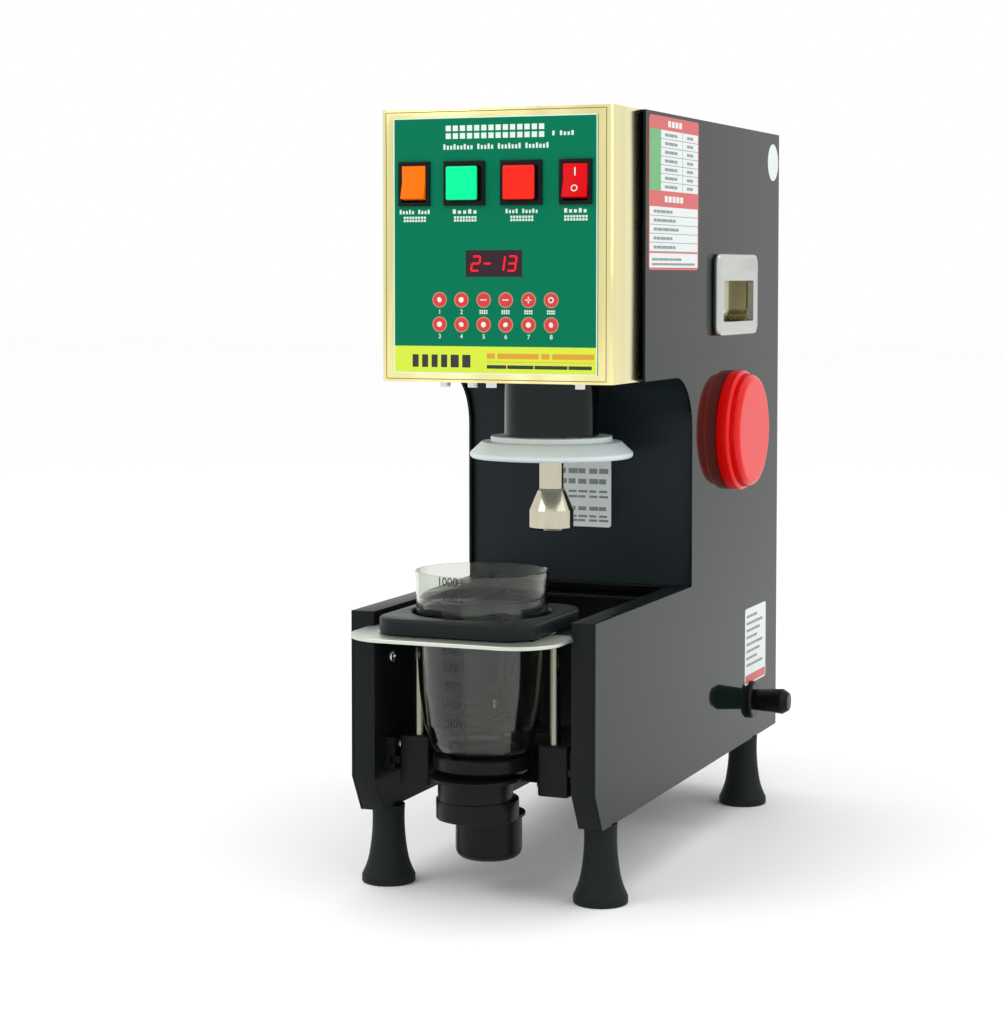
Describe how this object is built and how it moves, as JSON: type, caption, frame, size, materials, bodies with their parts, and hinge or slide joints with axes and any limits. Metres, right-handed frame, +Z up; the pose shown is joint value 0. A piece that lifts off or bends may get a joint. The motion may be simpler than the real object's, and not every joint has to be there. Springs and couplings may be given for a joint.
{
  "type": "automatic fruit pounding machine",
  "caption": "Counter-top machine whose powered pestle and splash lid come down on a measuring cup that slides in on a carriage, under a gold control head.",
  "frame": {"origin": "on the counter, in the middle of the machine's whole outline; the pounding axis stands at X -0.01525, Y -0.0415", "axes": "+Z up, -Y to the front where the cup stands, +X to the machine's right side with the palm button"},
  "size_m": [0.252, 0.568, 0.622],
  "materials": {
    "graphite_paint": "satin graphite powder paint",
    "black_paint": "satin black paint",
    "gold_metal": "bright anodised gold",
    "green_film": "satin printed film",
    "black_plastic": "fine matt",
    "orange_plastic": "translucent gloss",
    "green_plastic": "translucent gloss",
    "red_plastic": "gloss",
    "display_plastic": "dark red window",
    "board": "solder mask",
    "clear_plastic": "clear gloss",
    "white_plastic": "satin white",
    "rubber": "matt black",
    "silicone": "soft translucent",
    "stainless": "brushed",
    "bright_steel": "polished",
    "steel": "machined",
    "aluminium": "plain",
    "bronze": "sintered bush"
  },
  "bodies": {
    "root": {"base_cheek_left": "black_paint", "base_cheek_right": "black_paint", "base_floor": "black_paint", "board_standoffs": "aluminium", "carry_recess_left": "stainless", "carry_recess_right": "stainless", "control_board": "board", "control_overlay": "green_film", "cover_screws": "bright_steel", "deck_plate": "stainless", "display_module": "display_plastic", "drive_shelf": "steel", "driver_board": "board", "feet": "rubber", "guide_sleeve": "black_paint", "head_bolts": "bright_steel", "head_cover": "gold_metal", "knob_bush": "black_plastic", "lid_motor": "aluminium", "motor_brackets": "steel", "palm_bezel": "red_plastic", "pound_motor": "aluminium", "power_inlet": "black_plastic", "power_supply": "aluminium", "rear_cover": "graphite_paint", "rod_guide": "bronze", "shelf_pillars": "steel", "side_panel_left": "graphite_paint", "side_panel_right": "graphite_paint", "slide_rails": "steel", "switch_housings": "black_plastic", "throat_liner": "black_paint", "top_cover": "graphite_paint", "wall_screws": "bright_steel", "well_liner": "black_paint"},
    "carriage": {"carriage_frame": "black_paint", "carriage_tongues": "bronze", "ring_posts": "bright_steel", "cup_ring": "black_plastic", "turntable_bearing": "black_plastic", "turntable_gearbox": "black_plastic", "motor_cap": "black_plastic", "turntable_motor": "aluminium"},
    "turntable": {"turntable_spindle": "steel", "cup_seat": "rubber"},
    "cup": {"cup": "clear_plastic"},
    "lid": {"lid_disc": "white_plastic", "lid_gasket": "silicone", "lid_tube": "stainless", "lid_rack": "aluminium"},
    "pestle": {"pestle_rod": "stainless", "pestle_head": "stainless"},
    "pound_gear": {"pound_pinion": "steel"},
    "lid_gear": {"lid_pinion": "steel"},
    "start_button": {"start_button": "green_plastic"},
    "stop_button": {"stop_button": "red_plastic"},
    "mode_rocker": {"mode_rocker": "orange_plastic"},
    "power_rocker": {"power_rocker": "red_plastic"},
    "palm_button": {"palm_button": "red_plastic"},
    "side_knob": {"side_knob": "black_plastic"}
  },
  "joints": [
    {"name": "carriage_slide", "type": "slide", "parent": "root", "child": "carriage", "axis": [0, 1, 0], "range_m": [0, 0.15]},
    {"name": "turntable_spin", "type": "hinge", "parent": "carriage", "child": "turntable", "pos_m": [-0.01345, -0.1963, 0.1], "axis": [0, 0, 1], "continuous": true},
    {"name": "cup_lift", "type": "slide", "parent": "turntable", "child": "cup", "axis": [0, 0, -1], "range_m": [-0.115, 0]},
    {"name": "lid_slide", "type": "slide", "parent": "root", "child": "lid", "axis": [0, 0, -1], "range_m": [0, 0.077]},
    {"name": "pestle_slide", "type": "slide", "parent": "root", "child": "pestle", "axis": [0, 0, -1], "range_m": [0, 0.14]},
    {"name": "pound_pinion_spin", "type": "hinge", "parent": "root", "child": "pound_gear", "pos_m": [-0.01345, -0.0288, 0.4653], "axis": [1, 0, 0], "range_deg": [-5, 770]},
    {"name": "lid_pinion_spin", "type": "hinge", "parent": "root", "child": "lid_gear", "pos_m": [0.02825, -0.046, 0.4583], "axis": [0, -1, 0], "range_deg": [-5, 495]},
    {"name": "start_press", "type": "slide", "parent": "root", "child": "start_button", "axis": [0, 1, 0], "range_m": [0, 0.003], "stiffness_N_per_m": 400, "springref_m": -0.002},
    {"name": "stop_press", "type": "slide", "parent": "root", "child": "stop_button", "axis": [0, 1, 0], "range_m": [0, 0.003], "stiffness_N_per_m": 400, "springref_m": -0.002},
    {"name": "mode_rock", "type": "hinge", "parent": "root", "child": "mode_rocker", "pos_m": [-0.08135, -0.168, 0.561], "axis": [1, 0, 0], "range_deg": [0, 16]},
    {"name": "power_rock", "type": "hinge", "parent": "root", "child": "power_rocker", "pos_m": [0.05525, -0.168, 0.561], "axis": [1, 0, 0], "range_deg": [0, 16]},
    {"name": "palm_press", "type": "slide", "parent": "root", "child": "palm_button", "axis": [-1, 0, 0], "range_m": [0, 0.005], "stiffness_N_per_m": 800, "springref_m": -0.003},
    {"name": "side_knob_turn", "type": "hinge", "parent": "root", "child": "side_knob", "pos_m": [0.09155, 0.196, 0.1], "axis": [1, 0, 0], "range_deg": [-150, 150]}
  ],
  "couplings": [
    {"joint": "pound_pinion_spin", "follows": "pestle_slide", "rad_per_m": 95.238},
    {"joint": "lid_pinion_spin", "follows": "lid_slide", "rad_per_m": 111.11}
  ]
}
